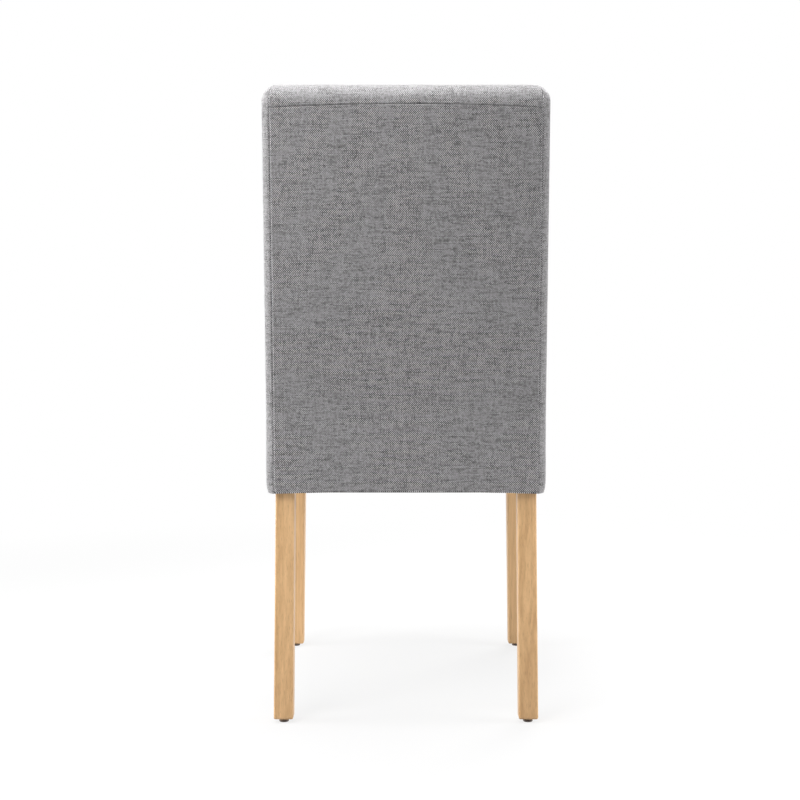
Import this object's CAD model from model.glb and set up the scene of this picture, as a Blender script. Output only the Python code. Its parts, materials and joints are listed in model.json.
"""Looks of an upholstered dining chair: sewn covers, padding, finishes, floor, light and camera.

Lengths are in metres. The chair stands at Z = 0 and faces -Y, and left is the sitter's left, at +X.
"""

import json
import logging
import math
from collections.abc import Sequence
from dataclasses import dataclass, field
from enum import Enum

import bpy
import numpy as np
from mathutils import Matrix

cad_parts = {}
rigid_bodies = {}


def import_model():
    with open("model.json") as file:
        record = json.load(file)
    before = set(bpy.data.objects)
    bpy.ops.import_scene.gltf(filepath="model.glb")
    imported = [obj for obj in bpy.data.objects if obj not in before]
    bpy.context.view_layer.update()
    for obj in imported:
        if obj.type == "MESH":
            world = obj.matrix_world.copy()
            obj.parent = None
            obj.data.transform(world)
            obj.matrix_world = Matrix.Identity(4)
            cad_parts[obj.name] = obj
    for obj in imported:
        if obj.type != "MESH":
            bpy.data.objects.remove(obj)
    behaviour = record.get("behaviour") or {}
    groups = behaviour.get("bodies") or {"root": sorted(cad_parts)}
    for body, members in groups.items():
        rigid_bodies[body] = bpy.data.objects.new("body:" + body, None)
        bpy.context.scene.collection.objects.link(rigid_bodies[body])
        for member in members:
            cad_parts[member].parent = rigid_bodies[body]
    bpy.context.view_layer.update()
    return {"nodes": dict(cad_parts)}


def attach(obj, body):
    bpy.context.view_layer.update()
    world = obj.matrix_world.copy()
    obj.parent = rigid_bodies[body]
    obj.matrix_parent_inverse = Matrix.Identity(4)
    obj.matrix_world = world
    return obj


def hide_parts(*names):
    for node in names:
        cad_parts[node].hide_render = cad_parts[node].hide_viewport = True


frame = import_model()
log = logging.getLogger("chair")

Colour = tuple[float, float, float, float]
Triple = tuple[float, float, float]
Span = tuple[float, float]
Panels = dict[str, bpy.types.Object]

WHITE: Colour = (1, 1, 1, 1)
BLACK: Colour = (0, 0, 0, 1)
WEAVE_MAP = "weave"
FAR = 1.0


class Side(Enum):
    """Side of the chair, with its sign along X."""

    LEFT = 1
    RIGHT = -1


class Weld(Enum):
    """How close points have to be to become one."""

    FINE = 0.00001
    CAD = 0.00005


class Pick(Enum):
    """What is selected in edit mode, with the name of a mesh's own list of it."""

    VERT = "vertices"
    EDGE = "edges"
    FACE = "polygons"


# Work at the bench


def put_down() -> None:
    """Leave edit mode and deselect everything."""
    if bpy.context.object and bpy.context.object.mode != "OBJECT":
        bpy.ops.object.mode_set(mode="OBJECT")
    bpy.ops.object.select_all(action="DESELECT")


def take(piece: bpy.types.Object) -> None:
    """Select one piece alone and make it active.

    Args:
        piece: The piece to take.
    """
    put_down()
    piece.select_set(True)
    bpy.context.view_layer.objects.active = piece


def name_piece(piece: bpy.types.Object, name: str) -> None:
    """Name a piece and its mesh."""
    piece.name = name
    piece.data.name = name


def rows_of(items: bpy.types.bpy_prop_collection, key: str) -> np.ndarray:
    """Read a list of places or directions from a mesh.

    Args:
        items: The mesh's list.
        key: Name of the value to read.

    Returns:
        An array with one row of x, y and z for each item.
    """
    values = np.empty(len(items) * 3, np.float32)
    items.foreach_get(key, values)
    return values.reshape(-1, 3).astype(float)


def points_of(piece: bpy.types.Object) -> np.ndarray:
    """Read a piece's points, in object mode."""
    return rows_of(piece.data.vertices, "co")


def normals_of(piece: bpy.types.Object) -> np.ndarray:
    """Read the outward direction at each of a piece's points."""
    return rows_of(piece.data.vertex_normals, "vector")


def face_middles(piece: bpy.types.Object) -> np.ndarray:
    """Read the middle of each of a piece's faces."""
    return rows_of(piece.data.polygons, "center")


def edge_ends(piece: bpy.types.Object) -> tuple[np.ndarray, np.ndarray]:
    """Read the two ends of each of a piece's edges.

    Args:
        piece: A mesh piece in object mode.

    Returns:
        The first ends and the second ends.
    """
    points = points_of(piece)
    ends = np.array([edge.vertices[:] for edge in piece.data.edges])
    return points[ends[:, 0]], points[ends[:, 1]]


def move_points(piece: bpy.types.Object, points: np.ndarray) -> None:
    """Put a piece's points where an array says."""
    piece.data.vertices.foreach_set("co", points.astype(np.float32).ravel())
    piece.data.update()


def edit(piece: bpy.types.Object, pick: Pick, chosen: np.ndarray) -> None:
    """Open a piece in edit mode with only some of it selected.

    Args:
        piece: The piece to open.
        pick: What to select: points, edges or faces.
        chosen: True for each one to select.
    """
    take(piece)
    bpy.ops.object.mode_set(mode="EDIT")
    bpy.ops.mesh.select_mode(type=pick.name)
    bpy.ops.mesh.select_all(action="DESELECT")
    bpy.ops.object.mode_set(mode="OBJECT")
    getattr(piece.data, pick.value).foreach_set("select", chosen.astype(bool))
    bpy.ops.object.mode_set(mode="EDIT")


def edit_all(piece: bpy.types.Object) -> None:
    """Open a piece in edit mode with everything selected.

    Args:
        piece: The piece to open.
    """
    take(piece)
    bpy.ops.object.mode_set(mode="EDIT")
    bpy.ops.mesh.select_all(action="SELECT")


def start_point(name: str, place: Triple) -> bpy.types.Object:
    """Start a piece as one selected point in edit mode.

    Args:
        name: Name of the piece.
        place: Where the point is.

    Returns:
        The new piece.
    """
    put_down()
    bpy.ops.mesh.primitive_plane_add(size=0.01)
    piece = bpy.context.object
    name_piece(piece, name)
    bpy.ops.object.mode_set(mode="EDIT")
    bpy.ops.mesh.select_mode(type="VERT")
    bpy.ops.mesh.select_all(action="SELECT")
    bpy.ops.mesh.merge(type="CENTER")
    bpy.ops.transform.translate(value=place)
    return piece


def run(shift: Triple, steps: int) -> None:
    """Extrude what is selected along a shift.

    Args:
        shift: Way from start to end.
        steps: Number of equal steps.
    """
    step = tuple(part / steps for part in shift)
    for _ in range(steps):
        bpy.ops.mesh.extrude_region_move(TRANSFORM_OT_translate={"value": step})


def turn(angle: float, centre: Triple, axis: Triple, steps: int) -> None:
    """Spin what is selected by a right-handed angle about an axis."""
    bpy.ops.mesh.spin(steps=steps, angle=-angle, center=centre, axis=axis)


def add_modifier(piece: bpy.types.Object, kind: str, **settings: object) -> None:
    """Add a modifier to a piece and apply it.

    Args:
        piece: The piece to change.
        kind: Type of the modifier.
        **settings: Values of the modifier's own settings.
    """
    take(piece)
    modifier = piece.modifiers.new(kind.lower(), kind)
    for key, value in settings.items():
        setattr(modifier, key, value)
    bpy.ops.object.modifier_apply(modifier=modifier.name)


def weld(piece: bpy.types.Object, gap: Weld) -> None:
    """Merge the points of a piece that lie together and turn its faces outwards.

    Args:
        piece: The piece to weld.
        gap: How close points have to be.
    """
    edit_all(piece)
    bpy.ops.mesh.remove_doubles(threshold=gap.value)
    bpy.ops.mesh.normals_make_consistent(inside=False)
    bpy.ops.object.mode_set(mode="OBJECT")


def smooth_step(value: np.ndarray, low: float, high: float) -> np.ndarray:
    """Rise smoothly from 0 at one value to 1 at another."""
    share = np.clip((value - low) / (high - low), 0, 1)
    return share * share * (3 - 2 * share)


def lay_weave(piece: bpy.types.Object, across: np.ndarray, along: np.ndarray) -> None:
    """Store where each point lies on its flat cut of cloth, in metres.

    Args:
        piece: The cloth piece.
        across: Place of each point across the cloth.
        along: Place of each point along the cloth.
    """
    layer = piece.data.uv_layers.get(WEAVE_MAP) or piece.data.uv_layers.new(name=WEAVE_MAP)
    corners = np.empty(len(piece.data.loops), np.int32)
    piece.data.loops.foreach_get("vertex_index", corners)
    flat = np.stack((across[corners], along[corners]), 1)
    layer.data.foreach_set("uv", flat.astype(np.float32).ravel())


def split_off(piece: bpy.types.Object, chosen: np.ndarray, name: str) -> bpy.types.Object:
    """Cut some faces of a piece off as a piece of their own.

    Args:
        piece: The piece to cut.
        chosen: True for each face to cut off.
        name: Name of the new piece.

    Returns:
        The new piece.
    """
    before = set(bpy.data.objects)
    edit(piece, Pick.FACE, chosen)
    bpy.ops.mesh.separate(type="SELECTED")
    put_down()
    cut = (set(bpy.data.objects) - before).pop()
    name_piece(cut, name)
    return cut


def finish_cloth(piece: bpy.types.Object, thickness: float) -> None:
    """Round a cloth panel, give it its thickness inwards and close its rims.

    Args:
        piece: The panel, one layer thick.
        thickness: Thickness of the cloth.
    """
    add_modifier(piece, "SUBSURF", levels=1, render_levels=1, boundary_smooth="PRESERVE_CORNERS")
    add_modifier(piece, "SOLIDIFY", thickness=thickness, offset=-1.0, use_rim=True)
    take(piece)
    bpy.ops.object.shade_smooth()


def dress(piece: bpy.types.Object, material: bpy.types.Material) -> None:
    """Give a piece one material all over."""
    piece.data.materials.clear()
    piece.data.materials.append(material)


@dataclass(frozen=True)
class Swelling:
    """Cloth simulation that swells a cover over its padding."""

    frames: int = 20
    quality: int = 4
    mass: float = 0.3
    stretch: float = 25
    shear: float = 12
    bending: float = 4
    pressure: float = 4.0
    hold_steps: int = 4

    def swell(self, piece: bpy.types.Object, held: np.ndarray, limit: float) -> None:
        """Let a padded cover swell.

        Args:
            piece: The cover at its starting shape.
            held: Share from 0 to 1 by which each point is held in place.
            limit: Farthest that a point may move.
        """
        start = points_of(piece)
        take(piece)
        group = piece.vertex_groups.new(name="held")
        shares = np.round(held * self.hold_steps) / self.hold_steps
        for weight in np.linspace(0, 1, self.hold_steps + 1):
            members = np.flatnonzero(np.isclose(shares, weight))
            group.add(members.tolist(), float(weight), "REPLACE")
        modifier = piece.modifiers.new("cloth", "CLOTH")
        settings = modifier.settings
        settings.quality = self.quality
        settings.mass = self.mass
        settings.tension_stiffness = self.stretch
        settings.compression_stiffness = self.stretch
        settings.shear_stiffness = self.shear
        settings.bending_stiffness = self.bending
        settings.use_pressure = True
        settings.uniform_pressure_force = self.pressure
        settings.vertex_group_mass = group.name
        settings.effector_weights.gravity = 0
        modifier.point_cache.frame_start = 1
        modifier.point_cache.frame_end = self.frames
        for step in range(1, self.frames + 1):
            bpy.context.scene.frame_set(step)
        bpy.ops.object.modifier_apply(modifier=modifier.name)
        bpy.context.scene.frame_set(1)
        moved = points_of(piece) - start
        longest = np.linalg.norm(moved, axis=1).max()
        log.info("%s swelled by up to %.1f mm, kept to %.1f mm", piece.name, longest * 1000, limit * 1000)
        move_points(piece, start + moved * min(1.0, limit / max(longest, Weld.FINE.value)))
        piece.vertex_groups.clear()


# Finishes


class NodeBench:
    """Shader nodes of one material or sky, added and linked in the order of the work."""

    def __init__(self, owner: bpy.types.ID, output: str = "OutputMaterial") -> None:
        """Start with an empty shader.

        Args:
            owner: The material or the sky.
            output: Kind of its output node.
        """
        self.owner = owner
        owner.use_nodes = True
        self.tree = owner.node_tree
        self.tree.nodes.clear()
        self.output = self.add(output)

    def add(self, kind: str, **settings: object) -> bpy.types.Node:
        """Add a node and set its own options.

        Args:
            kind: Type of the node.
            **settings: Values of the node's own options.

        Returns:
            The new node.
        """
        node = self.tree.nodes.new("ShaderNode" + kind)
        for key, value in settings.items():
            setattr(node, key, value)
        return node

    def feed(self, socket: bpy.types.NodeSocket, value: object) -> None:
        """Set a socket to a value, or link it to another node's socket.

        Args:
            socket: The socket to feed.
            value: A plain value or a socket.
        """
        if isinstance(value, bpy.types.NodeSocket):
            self.tree.links.new(value, socket)
        else:
            socket.default_value = value

    def math(
        self, operation: str, first: object, second: object = 0.0, third: object = 0.0
    ) -> bpy.types.NodeSocket:
        """Add a sum on one to three values.

        Args:
            operation: Name of the sum.
            first: A number or a socket.
            second: A number or a socket.
            third: A number or a socket.

        Returns:
            The result's socket.
        """
        node = self.add("Math", operation=operation)
        for socket, value in zip(node.inputs, (first, second, third)):
            self.feed(socket, value)
        return node.outputs[0]

    def blend(self, share: object, first: object, second: object, kind: str = "MIX") -> bpy.types.NodeSocket:
        """Mix two colours.

        Args:
            share: Share of the second colour.
            first: A colour or a socket.
            second: A colour or a socket.
            kind: Way of mixing.

        Returns:
            The mixed colour's socket.
        """
        node = self.add("Mix", data_type="RGBA", blend_type=kind)
        self.feed(node.inputs[0], share)
        self.feed(node.inputs[6], first)
        self.feed(node.inputs[7], second)
        return node.outputs[2]

    def vector(self, x: object, y: object, z: object = 0.0) -> bpy.types.NodeSocket:
        """Join three values into one place.

        Args:
            x: A number or a socket.
            y: A number or a socket.
            z: A number or a socket.

        Returns:
            The place's socket.
        """
        node = self.add("CombineXYZ")
        for socket, value in zip(node.inputs, (x, y, z)):
            self.feed(socket, value)
        return node.outputs[0]

    def noise(
        self, place: object, scale: float, detail: float = 2.0, roughness: float = 0.5
    ) -> bpy.types.NodeSocket:
        """Add soft noise.

        Args:
            place: Socket with the place.
            scale: Number of waves in a metre.
            detail: Number of finer layers.
            roughness: Strength of the finer layers.

        Returns:
            Socket with the noise's value.
        """
        node = self.add("TexNoise")
        self.feed(node.inputs["Vector"], place)
        node.inputs["Scale"].default_value = scale
        node.inputs["Detail"].default_value = detail
        node.inputs["Roughness"].default_value = roughness
        return node.outputs["Fac"]

    def ramp(self, value: object, places: Sequence[float], colours: Sequence[Colour]) -> bpy.types.NodeSocket:
        """Turn a value into a colour.

        Args:
            value: Socket with the value.
            places: Values at which the colours stand.
            colours: The colours.

        Returns:
            The colour's socket.
        """
        node = self.add("ValToRGB")
        self.feed(node.inputs[0], value)
        band = node.color_ramp
        while len(band.elements) < len(places):
            band.elements.new(0.5)
        for element, place, colour in zip(band.elements, places, colours):
            element.position = place
            element.color = colour
        return node.outputs[0]

    def spread(self, value: object, low: float, high: float) -> bpy.types.NodeSocket:
        """Stretch a value from 0 to 1 over another span.

        Args:
            value: Socket with the value.
            low: What 0 becomes.
            high: What 1 becomes.

        Returns:
            Socket with the stretched value.
        """
        node = self.add("MapRange")
        self.feed(node.inputs[0], value)
        node.inputs[3].default_value = low
        node.inputs[4].default_value = high
        return node.outputs[0]

    def object_place(self, scale: Triple) -> bpy.types.NodeSocket:
        """Find the place on the object, stretched along each axis.

        Args:
            scale: Stretch along each axis.

        Returns:
            The place's socket.
        """
        mapping = self.add("Mapping")
        self.feed(mapping.inputs["Vector"], self.add("TexCoord").outputs["Object"])
        mapping.inputs["Scale"].default_value = scale
        return mapping.outputs[0]

    def seen_directly(self) -> bpy.types.NodeSocket:
        """Tell rays from the camera, a mirror or glass from those that only light the chair.

        Returns:
            Socket with 1 for the first kind and 0 for the second.
        """
        path = self.add("LightPath")
        seen = self.math("MAXIMUM", path.outputs["Is Camera Ray"], path.outputs["Is Glossy Ray"])
        return self.math("MAXIMUM", seen, path.outputs["Is Transmission Ray"])

    def surface(
        self, colour: object, roughness: object, height: object, depth: float, **fixed: object
    ) -> bpy.types.Material:
        """Finish the material as a solid surface.

        Args:
            colour: Colour or its socket.
            roughness: Roughness or its socket.
            height: Socket of the relief.
            depth: Depth of the relief in metres.
            **fixed: Values set on the shader's own sockets, by name with _ for a space.

        Returns:
            The finished material.
        """
        shader = self.add("BsdfPrincipled")
        self.feed(shader.inputs["Base Color"], colour)
        self.feed(shader.inputs["Roughness"], roughness)
        for key, value in fixed.items():
            shader.inputs[key.replace("_", " ")].default_value = value
        bump = self.add("Bump")
        bump.inputs["Strength"].default_value = 1.0
        bump.inputs["Distance"].default_value = depth
        self.feed(bump.inputs["Height"], height)
        self.feed(shader.inputs["Normal"], bump.outputs[0])
        self.feed(self.output.inputs["Surface"], shader.outputs[0])
        return self.owner


@dataclass(frozen=True)
class MelangeWeave:
    """Plain weave of mixed grey yarns, as on linen-look upholstery cloth."""

    name: str = "grey_melange_weave"
    warp_pitch: float = 0.00155
    weft_pitch: float = 0.0018
    dark: Colour = (0.054, 0.052, 0.053, 1)
    middle: Colour = (0.216, 0.211, 0.213, 1)
    light: Colour = (0.572, 0.562, 0.572, 1)
    tone_stops: Triple = (0.1, 0.5, 0.9)
    drift: float = 0.9
    drift_scale: float = 30.0
    slub: float = 1.8
    short_slubs: float = 85.0
    long_slubs: float = 22.0
    short_share: float = 0.6
    yarn_step: float = 3.7
    weft_seed: float = 8.3
    long_seed: float = 4.1
    fleck: float = 0.26
    contrast: float = 0.64
    mingle: float = 0.3
    crossing_share: float = 0.6
    shade: Span = (0.62, 1.08)
    roughness: Span = (0.95, 0.82)
    relief: float = 0.00022
    sheen: float = 0.8
    sheen_roughness: float = 0.3
    sheen_tint: Colour = (0.93, 0.93, 0.95, 1)
    specular: float = 0.2

    def make(self) -> bpy.types.Material:
        """Build the cloth's material on its weave coordinates.

        Returns:
            The finished material.
        """
        bench = NodeBench(bpy.data.materials.new(self.name))
        place = bench.add("UVMap", uv_map=WEAVE_MAP).outputs[0]
        split = bench.add("SeparateXYZ")
        bench.feed(split.inputs[0], place)
        across, along = split.outputs[0], split.outputs[1]
        wander = bench.math("SUBTRACT", bench.noise(place, self.drift_scale, 1.0), 0.5)
        warp_drift = bench.math("MULTIPLY", wander, self.drift)
        weft_drift = bench.math("MULTIPLY", wander, -self.drift)
        warp = bench.math("MULTIPLY_ADD", across, 1 / self.warp_pitch, warp_drift)
        weft = bench.math("MULTIPLY_ADD", along, 1 / self.weft_pitch, weft_drift)
        warp_number = bench.math("FLOOR", warp)
        weft_number = bench.math("FLOOR", weft)
        sum_of_both = bench.math("ABSOLUTE", bench.math("ADD", warp_number, weft_number))
        over = bench.math("MODULO", sum_of_both, 2.0)
        warp_tone = self.yarn_tone(bench, warp_number, along, 0.0)
        weft_tone = self.yarn_tone(bench, weft_number, across, self.weft_seed)
        speck = bench.add("TexWhiteNoise", noise_dimensions="2D")
        bench.feed(speck.inputs["Vector"], bench.vector(warp_number, weft_number))
        warp_share = bench.math("MULTIPLY_ADD", over, 1 - 2 * self.mingle, self.mingle)
        tone_step = bench.math("SUBTRACT", warp_tone, weft_tone)
        top_tone = bench.math("MULTIPLY_ADD", warp_share, tone_step, weft_tone)
        raised = bench.math("ADD", top_tone, self.contrast / 2)
        checked = bench.math("MULTIPLY_ADD", over, -self.contrast, raised)
        fleck = bench.math("MULTIPLY", bench.math("SUBTRACT", speck.outputs["Value"], 0.5), self.fleck)
        tone = bench.math("ADD", checked, fleck)
        colour = bench.ramp(tone, self.tone_stops, (self.dark, self.middle, self.light))
        warp_round = self.yarn_round(bench, warp)
        weft_round = self.yarn_round(bench, weft)
        both = bench.math("MULTIPLY", warp_round, weft_round)
        round_step = bench.math("SUBTRACT", warp_round, weft_round)
        top_round = bench.math("MULTIPLY_ADD", over, round_step, weft_round)
        top_height = bench.math("MULTIPLY", top_round, 1 - self.crossing_share)
        height = bench.math("MULTIPLY_ADD", both, self.crossing_share, top_height)
        shade = bench.spread(height, *self.shade)
        shaded = bench.blend(1.0, colour, bench.vector(shade, shade, shade), "MULTIPLY")
        return bench.surface(
            shaded,
            bench.spread(height, *self.roughness),
            height,
            self.relief,
            Sheen_Weight=self.sheen,
            Sheen_Roughness=self.sheen_roughness,
            Sheen_Tint=self.sheen_tint,
            Specular_IOR_Level=self.specular,
        )

    def yarn_tone(self, bench: NodeBench, number: object, along: object, seed: float) -> bpy.types.NodeSocket:
        """Tone along one yarn, with short and long slubs.

        Args:
            bench: Nodes of the material.
            number: Socket with the yarn's number.
            along: Socket with the place along the yarn.
            seed: Keeps warp and weft apart.

        Returns:
            Socket with a tone round 0.5.
        """
        yarn = bench.math("MULTIPLY", number, self.yarn_step)
        short_place = bench.vector(yarn, bench.math("MULTIPLY", along, self.short_slubs), seed)
        long_place = bench.vector(yarn, bench.math("MULTIPLY", along, self.long_slubs), seed + self.long_seed)
        short = bench.math("MULTIPLY", bench.noise(short_place, 1.0, 2.0, 0.6), self.short_share)
        long = bench.math("MULTIPLY", bench.noise(long_place, 1.0, 1.0), 1 - self.short_share)
        both = bench.math("ADD", short, long)
        return bench.math("MULTIPLY_ADD", bench.math("SUBTRACT", both, 0.5), self.slub, 0.5)

    def yarn_round(self, bench: NodeBench, place: object) -> bpy.types.NodeSocket:
        """Height across one yarn, from 0 at its edges to 1 at its middle."""
        off = bench.math("SUBTRACT", bench.math("FRACT", place), 0.5)
        return bench.math("COSINE", bench.math("MULTIPLY", off, math.pi))


@dataclass(frozen=True)
class Timber:
    """Wood with its grain along Z or another axis."""

    name: str
    early: Colour
    late: Colour
    pore: Colour
    stretch: Triple = (1.0, 1.0, 0.045)
    gloss: Span = (0.36, 0.5)
    coat: float = 0.1
    coat_roughness: float = 0.3
    wander_scale: float = 14.0
    ring_turns: float = 9.0
    ring_place: Span = (0.3, 0.7)
    ring_scale: float = 2.2
    streak_scale: float = 240.0
    streak_share: float = 0.45
    tone_stops: Span = (0.34, 0.62)
    pore_scale: float = 900.0
    pore_stops: Span = (0.3, 0.42)
    pore_tone: float = 0.35
    pore_relief: float = 0.7
    relief: float = 0.00012

    def make(self) -> bpy.types.Material:
        """Build the wood's material on object coordinates.

        Returns:
            The finished material.
        """
        bench = NodeBench(bpy.data.materials.new(self.name))
        place = bench.object_place(self.stretch)
        wander = bench.math("MULTIPLY", bench.noise(place, self.wander_scale, 3.0), self.ring_turns)
        rings = bench.noise(bench.vector(wander, *self.ring_place), self.ring_scale, 2.0)
        streak = bench.noise(place, self.streak_scale, 3.0, 0.6)
        pores = bench.noise(place, self.pore_scale, 1.0)
        ring_tone = bench.math("MULTIPLY", rings, 1 - self.streak_share)
        tone = bench.math("MULTIPLY_ADD", streak, self.streak_share, ring_tone)
        colour = bench.ramp(tone, self.tone_stops, (self.late, self.early))
        slit = bench.ramp(pores, self.pore_stops, (WHITE, BLACK))
        grained = bench.blend(bench.math("MULTIPLY", slit, self.pore_tone), colour, self.pore)
        pore_height = bench.math("MULTIPLY", pores, self.pore_relief)
        height = bench.math("MULTIPLY_ADD", streak, 1 - self.pore_relief, pore_height)
        return bench.surface(
            grained,
            bench.spread(streak, *self.gloss),
            height,
            self.relief,
            Coat_Weight=self.coat,
            Coat_Roughness=self.coat_roughness,
        )


@dataclass(frozen=True)
class Speckled:
    """Matt stuff with fine grains, such as board, foam, wadding, non-woven cloth or moulded nylon."""

    name: str
    low: Colour
    high: Colour
    grain: float
    relief: float
    stretch: Triple = (1.0, 1.0, 1.0)
    roughness: Span = (0.75, 0.95)
    metallic: float = 0.0
    sheen: float = 0.0
    cloud_scale: float = 0.08
    grain_share: float = 0.7
    tone_stops: Span = (0.32, 0.68)

    def make(self) -> bpy.types.Material:
        """Build the material on object coordinates.

        Returns:
            The finished material.
        """
        bench = NodeBench(bpy.data.materials.new(self.name))
        place = bench.object_place(self.stretch)
        cloud = bench.noise(place, self.grain * self.cloud_scale, 3.0)
        grain = bench.noise(place, self.grain, 3.0, 0.65)
        cloud_tone = bench.math("MULTIPLY", cloud, 1 - self.grain_share)
        tone = bench.math("MULTIPLY_ADD", grain, self.grain_share, cloud_tone)
        return bench.surface(
            bench.ramp(tone, self.tone_stops, (self.low, self.high)),
            bench.spread(grain, *self.roughness),
            grain,
            self.relief,
            Metallic=self.metallic,
            Sheen_Weight=self.sheen,
        )


@dataclass(frozen=True)
class StrapWeb:
    """Elastic upholstery webbing with ribs along it and finer picks across it."""

    name: str
    along_x: bool
    rib: float = 0.0022
    pick_rate: float = 1.4
    rib_height: float = 0.35
    pick_height: float = 0.15
    low: Colour = (0.02, 0.02, 0.02, 1)
    high: Colour = (0.085, 0.083, 0.08, 1)
    tone_stops: Span = (0.1, 0.9)
    roughness: Span = (0.8, 0.6)
    relief: float = 0.0004

    def make(self) -> bpy.types.Material:
        """Build the webbing's material on object coordinates.

        Returns:
            The finished material.
        """
        bench = NodeBench(bpy.data.materials.new(self.name))
        split = bench.add("SeparateXYZ")
        bench.feed(split.inputs[0], bench.add("TexCoord").outputs["Object"])
        x, y = split.outputs[0], split.outputs[1]
        across, along = (y, x) if self.along_x else (x, y)
        ribs = bench.math("SINE", bench.math("MULTIPLY", across, math.tau / self.rib))
        picks = bench.math("SINE", bench.math("MULTIPLY", along, math.tau / self.rib * self.pick_rate))
        pick_relief = bench.math("MULTIPLY_ADD", picks, self.pick_height, 0.5)
        height = bench.math("MULTIPLY_ADD", ribs, self.rib_height, pick_relief)
        colour = bench.ramp(height, self.tone_stops, (self.low, self.high))
        return bench.surface(colour, bench.spread(height, *self.roughness), height, self.relief)


@dataclass(frozen=True)
class StudioFloor:
    """Seamless pale floor that keeps the chair's shadow and runs out to white."""

    name: str = "studio_floor"
    colour: Colour = (0.62, 0.62, 0.62, 1)
    mottle: float = 1.02
    mottle_scale: float = 3.0
    glow: float = 0.8
    white_from: float = 0.8
    white_at: float = 2.0

    def make(self) -> bpy.types.Material:
        """Build the floor's material.

        Returns:
            The finished material.
        """
        bench = NodeBench(bpy.data.materials.new(self.name))
        place = bench.add("TexCoord").outputs["Object"]
        reach = bench.add("VectorMath", operation="LENGTH")
        bench.feed(reach.inputs[0], place)
        fade = bench.add("MapRange", interpolation_type="SMOOTHSTEP")
        bench.feed(fade.inputs[0], reach.outputs["Value"])
        fade.inputs[1].default_value = self.white_from
        fade.inputs[2].default_value = self.white_at
        fade.inputs[3].default_value = self.glow
        matt = bench.add("BsdfDiffuse")
        paler = tuple(part * self.mottle for part in self.colour[:3]) + (1,)
        mottled = bench.blend(bench.noise(place, self.mottle_scale), self.colour, paler)
        bench.feed(matt.inputs["Color"], mottled)
        glow = bench.add("Emission")
        glow.inputs["Color"].default_value = WHITE
        glow.inputs["Strength"].default_value = 1.0
        mix = bench.add("MixShader")
        bench.feed(mix.inputs[0], bench.math("MULTIPLY", fade.outputs[0], bench.seen_directly()))
        bench.feed(mix.inputs[1], matt.outputs[0])
        bench.feed(mix.inputs[2], glow.outputs[0])
        bench.feed(bench.output.inputs["Surface"], mix.outputs[0])
        return bench.owner


# Upholstery


@dataclass(frozen=True)
class Ripple:
    """Small uneven waves that the stitches leave along a seam."""

    waves: float
    sway: float
    slow_waves: float
    reach: float = 0.007

    def at(self, along: np.ndarray, past: np.ndarray) -> np.ndarray:
        """Height of the waves along a seam, from -1 to 1, at a distance past it."""
        swing = np.sin(along * self.waves + self.sway * np.sin(along * self.slow_waves))
        return swing * np.exp(-np.abs(past) / self.reach)


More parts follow.
